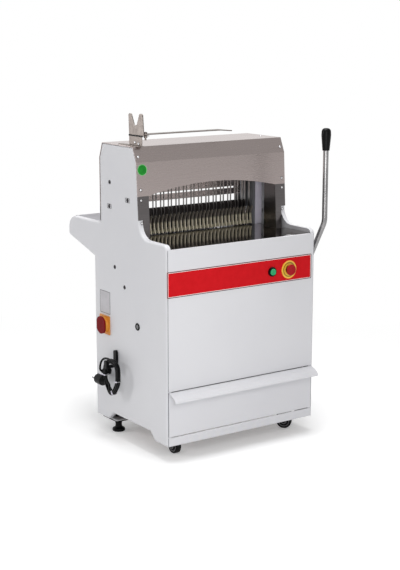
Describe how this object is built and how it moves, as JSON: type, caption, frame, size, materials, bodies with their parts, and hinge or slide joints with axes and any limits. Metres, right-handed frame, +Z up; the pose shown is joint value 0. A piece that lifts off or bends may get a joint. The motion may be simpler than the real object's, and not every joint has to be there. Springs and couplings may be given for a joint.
{
  "type": "floor-standing bread slicer",
  "caption": "Floor-standing electric bread slicer: a hand lever on the right pushes the loaf through two counter-moving rows of upright blades.",
  "frame": {"origin": "on the floor under the middle of the machine's box", "axes": "+X the machine's right side as seen from the front (the lever's side), +Y from the front to the rear, +Z up"},
  "size_m": [0.7239, 0.688, 1.144],
  "materials": {
    "white_paint": "smooth semi-gloss powder coat",
    "stainless": "bright stainless sheet",
    "frame_paint": "satin grey paint",
    "blade_steel": "polished spring steel",
    "machined_steel": "turned steel",
    "zinc": "zinc plated",
    "foot_plastic": "moulded black",
    "cast_metal": "painted casting",
    "motor_paint": "satin paint",
    "lever_paint": "semi-gloss powder coat",
    "black_plastic": "fine grain",
    "belt_rubber": "matte",
    "wheel_tyre": "smooth nylon",
    "red_strip": "satin printed film",
    "yellow_plastic": "smooth",
    "red_plastic": "smooth",
    "green_plastic": "smooth",
    "white_plastic": "smooth machined nylon",
    "cord_rubber": "smooth black sheath"
  },
  "bodies": {
    "cabinet": {"left_side_panel": "white_paint", "right_side_panel": "white_paint", "front_panel": "white_paint", "plinth_rail": "white_paint", "rear_panel": "white_paint", "tray_underside": "white_paint", "hood_cover": "stainless", "tower_posts": "stainless", "front_table": "stainless", "rear_tray": "white_paint", "base_frame": "frame_paint", "frame_uprights": "frame_paint", "frame_rails": "frame_paint", "levelling_feet": "foot_plastic", "mounting_plates": "zinc", "blade_guides": "white_plastic", "slide_rods": "stainless", "shaft_bearings": "cast_metal", "drive_belt": "belt_rubber", "motor": "motor_paint", "drawer_runners": "stainless", "control_strip": "red_strip", "start_switch": "black_plastic", "estop_disc": "yellow_plastic", "estop_switch": "black_plastic", "main_switch_box": "yellow_plastic", "fasteners": "machined_steel", "fork_foot": "stainless", "fork_plate": "stainless", "cable_gland": "black_plastic", "cord_hook": "black_plastic", "cord_lead": "cord_rubber", "cord_coil": "cord_rubber", "mains_plug": "black_plastic"},
    "drawer": {"drawer_front": "white_paint", "crumb_tray": "stainless"},
    "pusher": {"pusher_fingers": "stainless", "pusher_plate": "stainless", "pusher_side_plates": "stainless", "pusher_bushes": "black_plastic"},
    "lever": {"lever_shaft": "machined_steel", "lever_arm": "lever_paint", "lever_grip": "black_plastic"},
    "blades_a": {"blade_frame_a": "frame_paint", "blades_a": "blade_steel", "connecting_rods_a": "machined_steel"},
    "blades_b": {"blade_frame_b": "frame_paint", "blades_b": "blade_steel", "connecting_rod_b": "machined_steel"},
    "crank": {"crankshaft": "machined_steel", "crank_pulley": "cast_metal"},
    "motor_rotor": {"motor_shaft": "machined_steel"},
    "start": {"start_button": "green_plastic"},
    "estop": {"estop_head": "red_plastic"},
    "switch": {"main_switch_knob": "red_plastic"},
    "bag_arm": {"bag_arm": "stainless"},
    "swivel_left": {"caster_fork_left": "black_plastic"},
    "swivel_right": {"caster_fork_right": "black_plastic"},
    "wheel_left": {"caster_wheel_left": "wheel_tyre"},
    "wheel_right": {"caster_wheel_right": "wheel_tyre"}
  },
  "joints": [
    {"name": "drawer_slide", "type": "slide", "parent": "cabinet", "child": "drawer", "axis": [0, -1, 0], "range_m": [0, 0.3]},
    {"name": "pusher_slide", "type": "slide", "parent": "cabinet", "child": "pusher", "axis": [0, 1, 0], "range_m": [0, 0.235]},
    {"name": "lever_swing", "type": "hinge", "parent": "cabinet", "child": "lever", "pos_m": [0.345, -0.143, 0.454], "axis": [-1, 0, 0], "range_deg": [0, 60]},
    {"name": "blades_a_slide", "type": "slide", "parent": "cabinet", "child": "blades_a", "axis": [0, 0, 1], "range_m": [-0.05, 0]},
    {"name": "blades_b_slide", "type": "slide", "parent": "cabinet", "child": "blades_b", "axis": [0, 0, 1], "range_m": [0, 0.05]},
    {"name": "crank_spin", "type": "hinge", "parent": "cabinet", "child": "crank", "pos_m": [0, 0.013, 0.384], "axis": [1, 0, 0], "continuous": true},
    {"name": "motor_spin", "type": "hinge", "parent": "cabinet", "child": "motor_rotor", "pos_m": [0, -0.173, 0.296], "axis": [1, 0, 0], "continuous": true},
    {"name": "start_press", "type": "slide", "parent": "cabinet", "child": "start", "axis": [0, 1, 0], "range_m": [0, 0.0025], "stiffness_N_per_m": 500},
    {"name": "estop_press", "type": "slide", "parent": "cabinet", "child": "estop", "axis": [0, 1, 0], "range_m": [0, 0.0045], "stiffness_N_per_m": 800},
    {"name": "switch_turn", "type": "hinge", "parent": "cabinet", "child": "switch", "pos_m": [-0.33, 0.092, 0.3975], "axis": [-1, 0, 0], "range_deg": [0, 90]},
    {"name": "arm_swing", "type": "hinge", "parent": "cabinet", "child": "bag_arm", "pos_m": [-0.2575, -0.1, 1.076], "axis": [0, 0, 1], "range_deg": [-75, 60]},
    {"name": "swivel_left_turn", "type": "hinge", "parent": "cabinet", "child": "swivel_left", "pos_m": [-0.234, -0.215, 0.044], "axis": [0, 0, 1], "continuous": true},
    {"name": "wheel_left_roll", "type": "hinge", "parent": "swivel_left", "child": "wheel_left", "pos_m": [-0.234, -0.231, 0.0275], "axis": [1, 0, 0], "continuous": true},
    {"name": "swivel_right_turn", "type": "hinge", "parent": "cabinet", "child": "swivel_right", "pos_m": [0.234, -0.215, 0.044], "axis": [0, 0, 1], "continuous": true},
    {"name": "wheel_right_roll", "type": "hinge", "parent": "swivel_right", "child": "wheel_right", "pos_m": [0.24428, -0.22726, 0.0275], "axis": [0.766, 0.6428, 0], "continuous": true}
  ],
  "couplings": [
    {"joint": "blades_b_slide", "follows": "blades_a_slide", "ratio": -1},
    {"joint": "motor_spin", "follows": "crank_spin", "ratio": 2},
    {"joint": "lever_swing", "follows": "pusher_slide", "rad_per_m": 4.45}
  ]
}
